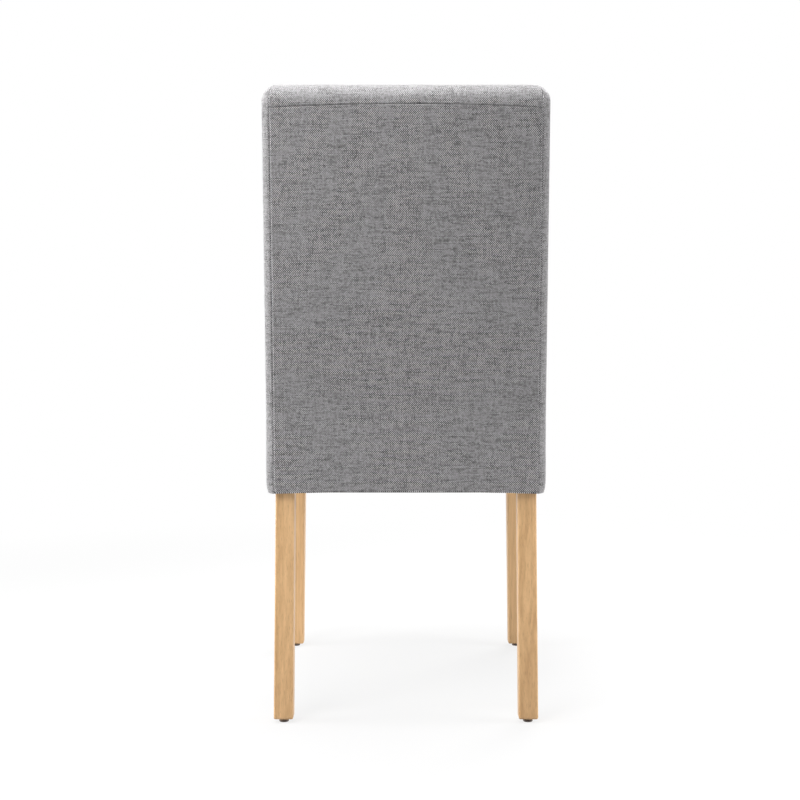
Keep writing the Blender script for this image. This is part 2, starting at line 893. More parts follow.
@dataclass
class BackUpholstery:
    """Padded back: two wide panels and two gussets, sewn along the edges, with a rolled top."""

    width: float = 0.44
    thickness: float = 0.064
    edge_round: float = 0.0165
    lean: float = math.radians(6.5)
    bend_radius: float = 0.5
    bend_z: float = 0.445
    bottom_z: float = 0.354
    top_z: float = 0.985
    rear_y: float = 0.28
    seam_turn: float = math.pi / 14
    seam_lower: float = 0.0014
    seam_sag: float = 0.006
    sag_fade: Span = (0.008, 0.036)
    middle_share: float = 0.25
    seam_zone: float = 0.9
    top_groove: Span = (0.0015, 0.0009)
    side_groove: Span = (0.001, 0.001)
    seam_ridge: float = 0.0004
    ridge_place: float = 2.4
    ridge_width: float = 1.2
    top_ripple: Ripple = Ripple(347, 1.7, 77)
    side_ripple: Ripple = Ripple(371, 1.3, 91)
    ripple_height: float = 0.0002
    tuck_z: float = 0.452
    hem: float = 0.018
    hem_zone: float = 0.003
    hem_steps: tuple[Span, ...] = ((0.04, 0.0007), (0.14, 0.0004), (1.0, 0.0))
    hem_arch: float = 0.0026
    arch_fade: float = 0.03
    crown: float = 0.01
    crown_power: float = 0.8
    swell: float = 0.003
    rear_swell: float = 0.0018
    front_hold: Span = (0.004, 0.014)
    roll_hold: Span = (2.0, 2.9)
    tuck_hold: Span = (0.004, 0.02)
    rear_hold: Span = (0.003, 0.012)
    seam_hold: Span = (0.003, 0.014)
    foot_hold: Span = (0.004, 0.016)
    corner_pull: float = 0.0036
    corner_drop: float = 0.0012
    corner_zone: Span = (0.034, 0.004)
    top_zone: float = 0.022
    foot_zone: float = 0.012
    foot_share: float = 0.8
    pad_gap: float = 0.0034
    post_x: Span = (0.174, 0.206)
    post_y: Span = (0.184, 0.2182)
    post_gap: float = 0.002
    cloth: float = 0.0016
    side_rows: tuple[float, ...] = (0.0007, 0.0008, 0.0012, 0.0018, 0.003, 0.005)
    top_rows: tuple[float, ...] = (0.004, 0.003, 0.002, 0.0014, 0.001, 0.0008, 0.0008)
    past_seam: float = math.radians(8)
    flat_steps: int = 3
    edge_steps: int = 14
    panel_steps: int = 50
    foot_steps: int = 11
    bend_steps: int = 7
    rear_steps: int = 52
    front_steps: int = 54
    roll_steps: tuple[int, int, int] = (5, 6, 30)
    half: float = field(init=False)
    seam_x: float = field(init=False)
    roll: Span = field(init=False)
    spine_y: float = field(init=False)
    roll_along: float = field(init=False)
    lean_length: float = field(init=False)

    def __post_init__(self) -> None:
        """Work out the line that the back's middle follows."""
        self.half = self.thickness / 2
        self.seam_x = self.width / 2 - self.edge_round * (1 - math.sin(self.seam_turn))
        self.roll = (self.rear_y - self.half, self.top_z - self.half)
        rise = self.roll[1] - self.bend_z - self.bend_radius * math.sin(self.lean)
        self.lean_length = rise / math.cos(self.lean)
        sweep = self.bend_radius * (1 - math.cos(self.lean)) + self.lean_length * math.sin(self.lean)
        self.spine_y = self.roll[0] - sweep
        self.roll_along = self.bend_z - self.bottom_z + self.bend_radius * self.lean + self.lean_length

    def from_roll(self, points: np.ndarray) -> tuple[np.ndarray, np.ndarray]:
        """Measure points from the roll's middle, along the back's lean.

        Args:
            points: Points on the back.

        Returns:
            How far each point lies up the back and out of it.
        """
        to_y, to_z = points[:, 1] - self.roll[0], points[:, 2] - self.roll[1]
        up = to_y * math.sin(self.lean) + to_z * math.cos(self.lean)
        out = to_y * math.cos(self.lean) - to_z * math.sin(self.lean)
        return up, out

    def unroll(self, points: np.ndarray) -> tuple[np.ndarray, np.ndarray, np.ndarray]:
        """Find where points lie on the back.

        Args:
            points: Points on the back.

        Returns:
            Path round the back from its rear foot over the top, distance from the middle line, and rise.
        """
        y, z = points[:, 1], points[:, 2]
        centre_y = self.spine_y + self.bend_radius
        bend = np.arctan2(z - self.bend_z, centre_y - y)
        depth = y - self.spine_y
        rise = z - self.bottom_z
        bent = (z >= self.bend_z) & (bend <= self.lean)
        radius = np.hypot(centre_y - y, z - self.bend_z)
        rise = np.where(bent, self.bend_z - self.bottom_z + self.bend_radius * bend, rise)
        depth = np.where(bent, self.bend_radius - radius, depth)
        leaning = (z >= self.bend_z) & (bend > self.lean)
        up, out = self.from_roll(points)
        rise = np.where(leaning, self.roll_along + up, rise)
        depth = np.where(leaning, out, depth)
        rolled = leaning & (up > 0)
        angle = np.arctan2(up, out)
        whole = 2 * self.roll_along + math.pi * self.half
        path = np.where(depth >= 0, rise, whole - rise)
        path = np.where(rolled, self.roll_along + self.half * angle, path)
        depth = np.where(rolled, np.hypot(up, out), np.abs(depth))
        return path, depth, rise

    def place(
        self, points: np.ndarray, path: np.ndarray, depth: np.ndarray, chosen: np.ndarray
    ) -> np.ndarray:
        """Put points of the rear face or the roll at new places on the path.

        Args:
            points: Points on the back.
            path: New place of each point on the path round the back.
            depth: Distance of each point from the middle line.
            chosen: True for each point to move.

        Returns:
            The points, with the chosen ones moved.
        """
        rolled = path > self.roll_along
        angle = np.where(rolled, (path - self.roll_along) / self.half, 0)
        drop = np.where(rolled, 0, self.roll_along - path)
        up = depth * np.sin(angle) - drop
        out = depth * np.cos(angle)
        moved = points.copy()
        y = self.roll[0] + up * math.sin(self.lean) + out * math.cos(self.lean)
        z = self.roll[1] + up * math.cos(self.lean) - out * math.sin(self.lean)
        moved[chosen, 1] = y[chosen]
        moved[chosen, 2] = z[chosen]
        return moved

    def seam_path(self, x: np.ndarray) -> np.ndarray:
        """Place of the seam across the top, on the path round the back."""
        share = np.minimum(np.abs(x) / self.seam_x, 1)
        return self.roll_along + self.half * self.lean - self.seam_lower - self.seam_sag * share**2

    def sweep(self) -> bpy.types.Object:
        """Draw half a section of the back and sweep it up the rear, over the roll and down the front.

        Returns:
            The back's whole skin, open below.
        """
        side = self.width / 2
        inner = side - self.edge_round
        flat = self.half - self.edge_round
        edge_y = self.spine_y + flat
        upright, across = (0, 0, 1), (1, 0, 0)
        skin = start_point("back_skin", (-side, self.spine_y, self.bottom_z))
        run((0, flat, 0), self.flat_steps)
        turn(-math.pi / 2, (self.edge_round - side, edge_y, self.bottom_z), upright, self.edge_steps)
        for step in self.side_rows:
            run((step, 0, 0), 1)
        run((2 * (inner - sum(self.side_rows)), 0, 0), self.panel_steps)
        for step in reversed(self.side_rows):
            run((step, 0, 0), 1)
        turn(-math.pi / 2, (inner, edge_y, self.bottom_z), upright, self.edge_steps)
        run((0, -flat, 0), self.flat_steps)
        bpy.ops.mesh.select_all(action="SELECT")
        up = np.array((0.0, math.sin(self.lean), math.cos(self.lean)))
        bend_centre = (0, self.spine_y + self.bend_radius, self.bend_z)
        run((0, 0, self.bend_z - self.bottom_z), self.foot_steps)
        turn(-self.lean, bend_centre, across, self.bend_steps)
        run(tuple(up * (self.lean_length - sum(self.top_rows))), self.rear_steps)
        for step in self.top_rows:
            run(tuple(up * step), 1)
        roll_turns = (self.lean, self.past_seam, math.pi - self.lean - self.past_seam)
        for angle, steps in zip(roll_turns, self.roll_steps):
            turn(angle, (0, *self.roll), across, steps)
        run(tuple(-up * self.lean_length), self.front_steps)
        turn(self.lean, bend_centre, across, self.bend_steps)
        run((0, 0, self.bottom_z - self.bend_z), self.foot_steps)
        weld(skin, Weld.FINE)
        return skin

    def sew(self, skin: bpy.types.Object) -> None:
        """Bend the top seam into its shallow arch, draw all seams in and arch the hem.

        Args:
            skin: The back's whole skin.
        """
        points = points_of(skin)
        path, depth, _ = self.unroll(points)
        straight = self.roll_along + self.half * self.lean
        near = 1 - smooth_step(np.abs(path - straight), *self.sag_fade)
        near *= smooth_step(depth, self.half * self.middle_share, self.half - self.edge_round)
        shift = (self.seam_path(points[:, 0]) - straight) * near
        points = self.place(points, path + shift, depth, np.abs(shift) > Weld.FINE.value)
        move_points(skin, points)
        path, depth, _ = self.unroll(points)
        past_side = np.abs(points[:, 0]) - self.seam_x
        past_side = np.where(depth > self.half - self.edge_round * self.seam_zone, past_side, FAR)
        past_top = np.where(past_side < Weld.CAD.value, path - self.seam_path(points[:, 0]), FAR)
        relief = self.seam_relief(past_side, self.side_groove) + self.seam_relief(past_top, self.top_groove)
        ripple = self.side_ripple.at(path, past_side) + self.top_ripple.at(points[:, 0], past_top)
        points = points + normals_of(skin) * (relief + self.ripple_height * ripple)[:, None]
        arch = np.clip(1 - (points[:, 0] / self.post_x[1]) ** 2, 0, 1)
        arch = arch * (1 - smooth_step(path, 0, self.arch_fade))
        points[:, 2] += self.hem_arch * arch
        move_points(skin, points)

    def seam_relief(self, past: np.ndarray, groove: Span) -> np.ndarray:
        """Height of a sewn line: a narrow groove with a low ridge on the side of the outside panel.

        Args:
            past: Distance from the seam, below 0 on the side of the panel.
            groove: Depth and width of the groove.

        Returns:
            Height over the plain skin.
        """
        depth, width = groove
        from_ridge = (past + self.ridge_place * width) / (self.ridge_width * width)
        return self.seam_ridge * np.exp(-(from_ridge**2)) - depth * np.exp(-((past / width) ** 2))

    def cut_panels(self, skin: bpy.types.Object) -> Panels:
        """Cut the skin along its seams.

        Args:
            skin: The sewn skin.

        Returns:
            The panels by the name of the node that each one stands for.
        """
        panels = {}
        for side in Side:
            beyond = face_middles(skin)[:, 0] * side.value > self.seam_x
            name = f"side_gusset_{side.name.lower()}"
            panels[name] = split_off(skin, beyond, f"{name}_panel")
        middles = face_middles(skin)
        path, _, _ = self.unroll(middles)
        outside = path < self.seam_path(middles[:, 0])
        panels["outside_back_cover"] = split_off(skin, outside, "outside_back_panel")
        points = points_of(skin)
        path, _, _ = self.unroll(points)
        hidden = (path > self.roll_along + self.half * math.pi) & (points[:, 2] < self.tuck_z)
        edit(skin, Pick.VERT, hidden)
        bpy.ops.mesh.delete(type="VERT")
        put_down()
        name_piece(skin, "inside_back_panel")
        panels["inside_back_cover"] = skin
        return panels

    def corner_share(self, points: np.ndarray) -> tuple[np.ndarray, np.ndarray]:
        """Find how much of the corners' pull reaches points at their height.

        Args:
            points: Points on the back.

        Returns:
            Share near the top, and share of the whole pull near the top and the foot.
        """
        high = smooth_step(points[:, 2], self.top_z - self.top_zone, self.top_z)
        low = 1 - smooth_step(points[:, 2], self.bottom_z, self.bottom_z + self.foot_zone)
        return high, high + self.foot_share * low

    def round_corners(self, panels: Panels) -> None:
        """Pull the corners in at the top and at the foot.

        Args:
            panels: The panels of the back.
        """
        low, high = (self.width / 2 - inset for inset in self.corner_zone)
        for panel in panels.values():
            points = points_of(panel)
            near_top, share = self.corner_share(points)
            corner = smooth_step(np.abs(points[:, 0]), low, high)
            points[:, 0] -= np.sign(points[:, 0]) * self.corner_pull * corner * share
            points[:, 2] -= self.corner_drop * corner * near_top
            move_points(panel, points)

    def keep_inside(self, pad: bpy.types.Object) -> None:
        """Draw a pad of the back in where the cover's edges and corners are round.

        Args:
            pad: The pad.
        """
        points = points_of(pad)
        _, depth, _ = self.unroll(points)
        step = Weld.FINE.value
        slope_y = (self.unroll(points + (0, step, 0))[1] - depth) / step
        slope_z = (self.unroll(points + (0, 0, step))[1] - depth) / step
        _, share = self.corner_share(points + (0, 0, self.pad_gap))
        side = np.abs(points[:, 0]) - self.width / 2 + self.edge_round + self.corner_pull * share
        deep = depth - self.half + self.edge_round
        far = np.hypot(np.maximum(side, 0), np.maximum(deep, 0))
        excess = 1 - np.minimum(1, (self.edge_round - self.pad_gap) / np.maximum(far, step))
        points[:, 0] -= np.sign(points[:, 0]) * np.maximum(side, 0) * excess
        points[:, 1] -= slope_y * np.maximum(deep, 0) * excess
        points[:, 2] -= slope_z * np.maximum(deep, 0) * excess
        move_points(pad, points)

    def lay_panels(self, panels: Panels) -> None:
        """Lay the weave along each panel's own cut.

        Args:
            panels: The panels of the back.
        """
        for name, panel in panels.items():
            points = points_of(panel)
            if name.startswith("side_gusset"):
                up, out = self.from_roll(points)
                edge = self.width / 2 - np.abs(points[:, 0])
                lay_weave(panel, out + edge * np.sign(out), up)
            else:
                path, _, _ = self.unroll(points)
                lay_weave(panel, points[:, 0], path)

    def crown_front(self, panel: bpy.types.Object) -> None:
        """Raise the inside back over its foam.

        Args:
            panel: The inside back's panel.
        """
        points = points_of(panel)
        path, _, rise = self.unroll(points)
        across = np.clip(1 - (points[:, 0] / self.seam_x) ** 2, 0, 1)
        foot = self.tuck_z - self.bottom_z
        share = np.clip((rise - foot) / (self.roll_along - foot), 0, 1)
        front = path > self.roll_along + self.half * math.pi / 2
        crown = self.crown * across * np.sin(share * math.pi) ** self.crown_power * front
        move_points(panel, points + normals_of(panel) * crown[:, None])

    def pad(self, panels: Panels) -> None:
        """Swell the two wide panels over their padding.

        Args:
            panels: The panels of the back.
        """
        front = panels["inside_back_cover"]
        points = points_of(front)
        path, _, _ = self.unroll(points)
        tuck_low, tuck_high = (self.tuck_z + rise for rise in self.tuck_hold)
        held = 1 - smooth_step(self.seam_x - np.abs(points[:, 0]), *self.front_hold)
        roll_end = self.roll_along + self.half * np.array(self.roll_hold)
        held = np.maximum(held, 1 - smooth_step(path, *roll_end))
        held = np.maximum(held, 1 - smooth_step(points[:, 2], tuck_low, tuck_high))
        Swelling().swell(front, held, self.swell)
        rear = panels["outside_back_cover"]
        points = points_of(rear)
        path, _, _ = self.unroll(points)
        held = 1 - smooth_step(self.seam_x - np.abs(points[:, 0]), *self.rear_hold)
        held = np.maximum(held, 1 - smooth_step(self.seam_path(points[:, 0]) - path, *self.seam_hold))
        held = np.maximum(held, 1 - smooth_step(path, *self.foot_hold))
        Swelling().swell(rear, held, self.rear_swell)

    def fold_hems(self, panels: Panels) -> None:
        """Fold the lower edges of the outer panels in under the frame and up to the legs.

        Args:
            panels: The panels of the back.
        """
        for name, panel in panels.items():
            if name == "inside_back_cover":
                continue
            edit(panel, Pick.VERT, points_of(panel)[:, 2] < self.bottom_z + self.hem_zone)
            for reach, fall in self.hem_steps:
                bpy.ops.mesh.extrude_region_move()
                bpy.ops.object.mode_set(mode="OBJECT")
                chosen = np.empty(len(panel.data.vertices), bool)
                panel.data.vertices.foreach_get("select", chosen)
                points = points_of(panel)
                points[chosen] += self.hem_way(points[chosen], name) * reach - np.array((0, 0, fall))
                move_points(panel, points)
                bpy.ops.object.mode_set(mode="EDIT")
            put_down()

    def hem_way(self, points: np.ndarray, name: str) -> np.ndarray:
        """Way that the points of a lower edge take in under the frame.

        Args:
            points: Points of the edge.
            name: Node that the panel stands for.

        Returns:
            The shift of each point.
        """
        wide = np.abs(points[:, 0])
        way = np.zeros_like(points)
        if name == "outside_back_cover":
            by_post = (wide > self.post_x[0] - self.post_gap) & (wide < self.post_x[1] + self.post_gap)
            way[:, 1] = -np.where(by_post, points[:, 1] - self.post_y[1], self.hem)
        else:
            way[:, 0] = (np.clip(wide, *self.post_x) - wide) * np.sign(points[:, 0])
            way[:, 1] = np.clip(points[:, 1], *self.post_y) - points[:, 1]
        return way

    def build(self, cover: bpy.types.Material) -> Panels:
        """Make and dress the four panels of the back.

        Args:
            cover: Material of the cover.

        Returns:
            The panels by the name of the node that each one stands for.
        """
        skin = self.sweep()
        self.sew(skin)
        panels = self.cut_panels(skin)
        self.round_corners(panels)
        self.lay_panels(panels)
        self.crown_front(panels["inside_back_cover"])
        self.pad(panels)
        self.fold_hems(panels)
        for panel in panels.values():
            finish_cloth(panel, self.cloth)
            dress(panel, cover)
        return panels


@dataclass
class SeatUpholstery:
    """Padded seat: a crowned top sewn to a border that is pulled under the rails."""

    front_y: float = -0.28
    rear_y: float = 0.1636
    front_width: float = 0.47
    rear_width: float = 0.44
    bottom_z: float = 0.354
    top_z: float = 0.4815
    corner_round: float = 0.024
    corner_steps: int = 7
    edge_round: float = 0.014
    edge_steps: int = 5
    rear_round: float = 0.006
    rear_steps: int = 3
    upright: float = 0.01
    skim: float = 0.001
    rear_skim: float = 0.0015
    voxel: float = 0.0055
    softness: float = 0.5
    rounds: int = 2
    crown: float = 0.009
    crown_power: float = 1.2
    crown_fade: float = 0.006
    swell: float = 0.0035
    seam_hold: Span = (0.002, 0.014)
    rear_hold: Span = (0.012, 0.004)
    seam_z: float = 0.458
    seam_depth: float = 0.0026
    seam_width: float = 0.0012
    seam_tilt: float = 0.2
    seam_rows: tuple[float, ...] = (0.0, 0.0008, -0.0008, 0.0018, -0.0018, 0.0034, -0.0034, 0.006, -0.006)
    ripple: Ripple = Ripple(83, 2, 17)
    ripple_height: float = 0.0003
    ripple_y: float = 0.06
    hem: float = 0.018
    leg_x: Span = (0.1905, 0.2275)
    leg_y: Span = (-0.271, -0.234)
    cloth: float = 0.0016
    least_slope: float = 0.05
    corner_points: int = 24
    side_points: int = 120
    front_points: int = 100

    def block(self) -> bpy.types.Object:
        """Shape the seat's closed form from a block.

        Returns:
            The form, with round corners and a flat top.
        """
        put_down()
        middle = (0, (self.front_y + self.rear_y) / 2, (self.bottom_z + self.top_z) / 2)
        bpy.ops.mesh.primitive_cube_add(size=1, location=middle)
        form = bpy.context.object
        name_piece(form, "seat_skin")
        form.scale = (self.front_width, self.rear_y - self.front_y, self.top_z - self.bottom_z)
        bpy.ops.object.transform_apply(location=True, rotation=True, scale=True)
        edit(form, Pick.VERT, points_of(form)[:, 1] > 0)
        bpy.ops.transform.resize(value=(self.rear_width / self.front_width, 1, 1))
        put_down()
        first, second = edge_ends(form)
        upright = np.abs(first[:, 2] - second[:, 2]) > self.upright
        in_front = np.maximum(first[:, 1], second[:, 1]) < 0
        self.bevel(form, upright & in_front, self.corner_round, self.corner_steps)
        first, second = edge_ends(form)
        upright = np.abs(first[:, 2] - second[:, 2]) > self.upright
        behind = np.minimum(first[:, 1], second[:, 1]) > 0
        self.bevel(form, upright & behind, self.rear_round, self.rear_steps)
        first, second = edge_ends(form)
        on_top = np.minimum(first[:, 2], second[:, 2]) > self.top_z - self.skim
        self.bevel(form, on_top, self.edge_round, self.edge_steps)
        return form

    def bevel(self, form: bpy.types.Object, chosen: np.ndarray, offset: float, segments: int) -> None:
        """Round some edges of a form.

        Args:
            form: The form.
            chosen: True for each edge to round.
            offset: Radius of the rounding.
            segments: Number of steps round it.
        """
        edit(form, Pick.EDGE, chosen)
        bpy.ops.mesh.bevel(
            offset=offset, offset_type="OFFSET", segments=segments, profile=0.5, affect="EDGES"
        )
        put_down()

    def crown_top(self, form: bpy.types.Object) -> None:
        """Raise the top of the form over its foam.

        Args:
            form: The seat's form.
        """
        points = points_of(form)
        middle, reach = (self.front_y + self.rear_y) / 2, (self.rear_y - self.front_y) / 2
        across = np.clip(1 - (points[:, 0] / (self.rear_width / 2)) ** 2, 0, 1)
        along = np.clip(1 - ((points[:, 1] - middle) / reach) ** 2, 0, 1)
        above = smooth_step(points[:, 2], self.top_z - self.crown_fade, self.top_z)
        points[:, 2] += self.crown * np.sqrt(across * along) ** self.crown_power * above
        move_points(form, points)

    def pad(self, form: bpy.types.Object) -> None:
        """Swell the top of the form over its foam.

        Args:
            form: The seat's form.
        """
        points = points_of(form)
        seam_low, seam_high = (self.seam_z + rise for rise in self.seam_hold)
        rear_low, rear_high = (self.rear_y - inset for inset in self.rear_hold)
        held = 1 - smooth_step(points[:, 2], seam_low, seam_high)
        held = np.maximum(held, smooth_step(points[:, 1], rear_low, rear_high))
        Swelling().swell(form, held, self.swell)

    def sew(self, form: bpy.types.Object) -> None:
        """Draw the seam in round the border.

        Args:
            form: The seat's form.
        """
        for shift in self.seam_rows:
            edit_all(form)
            bpy.ops.mesh.bisect(plane_co=(0, 0, self.seam_z + shift), plane_no=(0, 0, 1))
        put_down()
        points = points_of(form)
        from_seam = points[:, 2] - self.seam_z
        pull = np.exp(-((from_seam / self.seam_width) ** 2))
        ripple = self.ripple.at(np.arctan2(points[:, 1] + self.ripple_y, points[:, 0]), from_seam)
        normals = normals_of(form)
        normals[:, 2] *= self.seam_tilt
        move_points(form, points + normals * (self.ripple_height * ripple - self.seam_depth * pull)[:, None])

    def outline(self) -> np.ndarray:
        """Plan outline of the seat from behind its left rear corner round the front.

        Returns:
            Points of the outline, close together.
        """
        front, rear, turn_at = self.front_width / 2, self.rear_width / 2, self.corner_round
        front_end = self.front_y + turn_at
        angle = np.linspace(0, math.pi / 2, self.corner_points)
        behind_x = np.linspace(rear - self.hem, rear, self.corner_points)
        left_x = np.linspace(rear, front, self.side_points)
        left_y = np.linspace(self.rear_y, front_end, self.side_points)
        edge_x = np.linspace(front - turn_at, 0, self.front_points)
        behind = np.stack((behind_x, np.full(self.corner_points, self.rear_y)), 1)
        left = np.stack((left_x, left_y), 1)
        bend = np.stack((front - turn_at + turn_at * np.cos(angle), front_end - turn_at * np.sin(angle)), 1)
        edge = np.stack((edge_x, np.full(self.front_points, self.front_y)), 1)
        half = np.concatenate((behind[:-1], left, bend[1:], edge[1:]))
        return np.concatenate((half, half[-2::-1] * (-1, 1)))

    def inset_of(self, points: np.ndarray) -> np.ndarray:
        """Distance of points from the seat's outline, in plan."""
        line = self.outline()
        return np.array([np.sqrt(((line - point[:2]) ** 2).sum(1).min()) for point in points])

    def open_faces(self, form: bpy.types.Object) -> np.ndarray:
        """Find the faces of the form that the cover leaves open, below and behind.

        Args:
            form: The seat's form.

        Returns:
            True for each face that is cut away.
        """
        middles = face_middles(form)
        wide = np.abs(middles[:, 0])
        at_leg = (wide > self.leg_x[0]) & (wide < self.leg_x[1])
        at_leg &= (middles[:, 1] > self.leg_y[0]) & (middles[:, 1] < self.leg_y[1])
        below = (middles[:, 2] < self.bottom_z + self.skim) & ((self.inset_of(middles) > self.hem) | at_leg)
        behind = (middles[:, 1] > self.rear_y - self.rear_skim) & (middles[:, 2] < self.seam_z)
        behind &= wide < self.rear_width / 2 - self.hem
        return below | behind

    def lay_top(self, top: bpy.types.Object) -> None:
        """Lay the weave flat over the top and down its edge.

        Args:
            top: The seat's top panel.
        """
        points, normals = points_of(top), normals_of(top)
        level = np.linalg.norm(normals[:, :2], axis=1, keepdims=True)
        outward = normals[:, :2] / np.maximum(level, self.least_slope)
        fall = np.maximum(0, self.top_z - points[:, 2])[:, None]
        flat = points[:, :2] + outward * fall
        lay_weave(top, flat[:, 0], flat[:, 1])

    def lay_border(self, border: bpy.types.Object) -> None:
        """Lay the weave along the border.

        Args:
            border: The seat's border panel.
        """
        line = self.outline()
        lengths = np.concatenate(([0], np.cumsum(np.linalg.norm(np.diff(line, axis=0), axis=1))))
        points = points_of(border)
        nearest = np.array([np.argmin(((line - point[:2]) ** 2).sum(1)) for point in points])
        inset = np.linalg.norm(line[nearest] - points[:, :2], axis=1)
        low = points[:, 2] < self.bottom_z + self.skim
        lay_weave(border, lengths[nearest], np.where(low, points[:, 2] - inset, points[:, 2]))

    def build(self, cover: bpy.types.Material) -> Panels:
        """Make and dress the two panels of the seat.

        Args:
            cover: Material of the cover.

        Returns:
            The panels by the name of the node that each one stands for.
        """
        form = self.block()
        add_modifier(form, "REMESH", mode="VOXEL", voxel_size=self.voxel)
        add_modifier(form, "SMOOTH", factor=self.softness, iterations=self.rounds)
        self.crown_top(form)
        self.pad(form)
        self.sew(form)
        edit(form, Pick.FACE, self.open_faces(form))
        bpy.ops.mesh.delete(type="FACE")
        put_down()
        top = split_off(form, face_middles(form)[:, 2] > self.seam_z, "seat_top_panel")
        name_piece(form, "seat_border_panel")
        self.lay_top(top)
        self.lay_border(form)
        panels = {"seat_top_cover": top, "seat_border_cover": form}
        for panel in panels.values():
            finish_cloth(panel, self.cloth)
            dress(panel, cover)
        return panels


@dataclass
class InnerPad:
    """Foam or wadding under the covers, with soft edges."""

    node: str
    voxel: float = 0.006
    ease: float = 0.0022
    softness: float = 0.4
    rounds: int = 2

    def build(self, stuffing: bpy.types.Material) -> bpy.types.Object:
        """Make the pad from its solid and round it.

        Args:
            stuffing: Material of the pad.

        Returns:
            The pad.
        """
        put_down()
        source = frame["nodes"][self.node]
        pad = source.copy()
        pad.data = source.data.copy()
        for key in list(pad.keys()):
            del pad[key]
        pad.parent = None
        bpy.context.scene.collection.objects.link(pad)
        name_piece(pad, f"{self.node}_pad")
        weld(pad, Weld.CAD)
        add_modifier(pad, "REMESH", mode="VOXEL", voxel_size=self.voxel)
        add_modifier(pad, "SMOOTH", factor=self.softness, iterations=self.rounds)
        move_points(pad, points_of(pad) - normals_of(pad) * self.ease)
        take(pad)
        bpy.ops.object.shade_smooth()
        dress(pad, stuffing)
        return pad


@dataclass
class Webbing:
    """Interlaced straps that carry the seat's foam."""

    strap: float = 0.05
    strap_steps: int = 4
    thickness: float = 0.0016
    layer: float = 0.00175
    base_z: float = 0.4182
    level_share: float = 0.52
    rise_steps: int = 6
    rise_span: Span = (0.1, 0.9)
    long_places: tuple[float, ...] = (-0.117, -0.039, 0.039, 0.117)
    cross_places: tuple[float, ...] = (-0.1689, -0.0739, 0.0211, 0.1161)
    long_ends: Span = (-0.264, 0.211)
    cross_ends: tuple[float, ...] = (0.2152, 0.2107, 0.2062, 0.2017)

    def way(self, ends: Span, crossings: Sequence[float], first: int) -> tuple[np.ndarray, np.ndarray]:
        """Find a strap's way over and under the others.

        Args:
            ends: Its two ends, along it.
            crossings: Middles of the straps that it crosses.
            first: 1 if it goes over the first one.

        Returns:
            Places along the strap, and its height at each.
        """
        stops = [(ends[0], 0.0)]
        for index, middle in enumerate(crossings):
            level = self.layer * ((index + first) % 2)
            reach = self.strap * self.level_share
            stops += [(middle - reach, level), (middle + reach, level)]
        stops.append((ends[1], 0.0))
        rise = smooth_step(np.linspace(0, 1, self.rise_steps + 1)[:-1], *self.rise_span)
        places, heights = [], []
        for (start, low), (end, high) in zip(stops, stops[1:]):
            places.append(np.linspace(start, end, self.rise_steps + 1)[:-1])
            heights.append(low + (high - low) * rise)
        return np.concatenate(places + [[ends[1]]]), np.concatenate(heights + [[0.0]])

    def strap_piece(
        self, name: str, ends: Span, crossings: Sequence[float], first: int, place: float, along_x: bool
    ) -> bpy.types.Object:
        """Draw one strap along its way over and under the others.

        Args:
            name: Name of the strap.
            ends: Its two ends, along it.
            crossings: Middles of the straps that it crosses.
            first: 1 if it goes over the first one.
            place: Its middle, across it.
            along_x: True for a strap from side to side.

        Returns:
            The strap.
        """
        places, heights = self.way(ends, crossings, first)
        edge = place - self.strap / 2
        corner = (ends[0], edge, self.base_z) if along_x else (edge, ends[0], self.base_z)
        piece = start_point(name, corner)
        run((0, self.strap, 0) if along_x else (self.strap, 0, 0), self.strap_steps)
        bpy.ops.mesh.select_all(action="SELECT")
        for step, rise in zip(np.diff(places), np.diff(heights)):
            run((step, 0, rise) if along_x else (0, step, rise), 1)
        weld(piece, Weld.FINE)
        if normals_of(piece)[:, 2].mean() < 0:
            edit_all(piece)
            bpy.ops.mesh.flip_normals()
        add_modifier(piece, "SOLIDIFY", thickness=self.thickness, offset=1.0)
        return piece

    def join(
        self, straps: Sequence[bpy.types.Object], name: str, web: bpy.types.Material
    ) -> bpy.types.Object:
        """Join a set of straps into one piece.

        Args:
            straps: The straps.
            name: Name of the joined piece.
            web: Material of the straps.

        Returns:
            The joined piece.
        """
        put_down()
        for strap in straps:
            strap.select_set(True)
        bpy.context.view_layer.objects.active = straps[0]
        bpy.ops.object.join()
        straps[0].name = name
        dress(straps[0], web)
        return straps[0]

    def build(self, lengthwise: bpy.types.Material, crosswise: bpy.types.Material) -> Panels:
        """Make both sets of straps.

        Args:
            lengthwise: Material of the straps from front to back.
            crosswise: Material of the straps from side to side.

        Returns:
            The sets by the name of the node that each one stands for.
        """
        long_set = [
            self.strap_piece(f"long_strap_{index}", self.long_ends, self.cross_places, index, place, False)
            for index, place in enumerate(self.long_places)
        ]
        cross_set = [
            self.strap_piece(f"cross_strap_{index}", (-end, end), self.long_places, index + 1, place, True)
            for index, (place, end) in enumerate(zip(self.cross_places, self.cross_ends))
        ]
        return {
            "webbing_lengthwise": self.join(long_set, "webbing_lengthwise_straps", lengthwise),
            "webbing_crosswise": self.join(cross_set, "webbing_crosswise_straps", crosswise),
        }


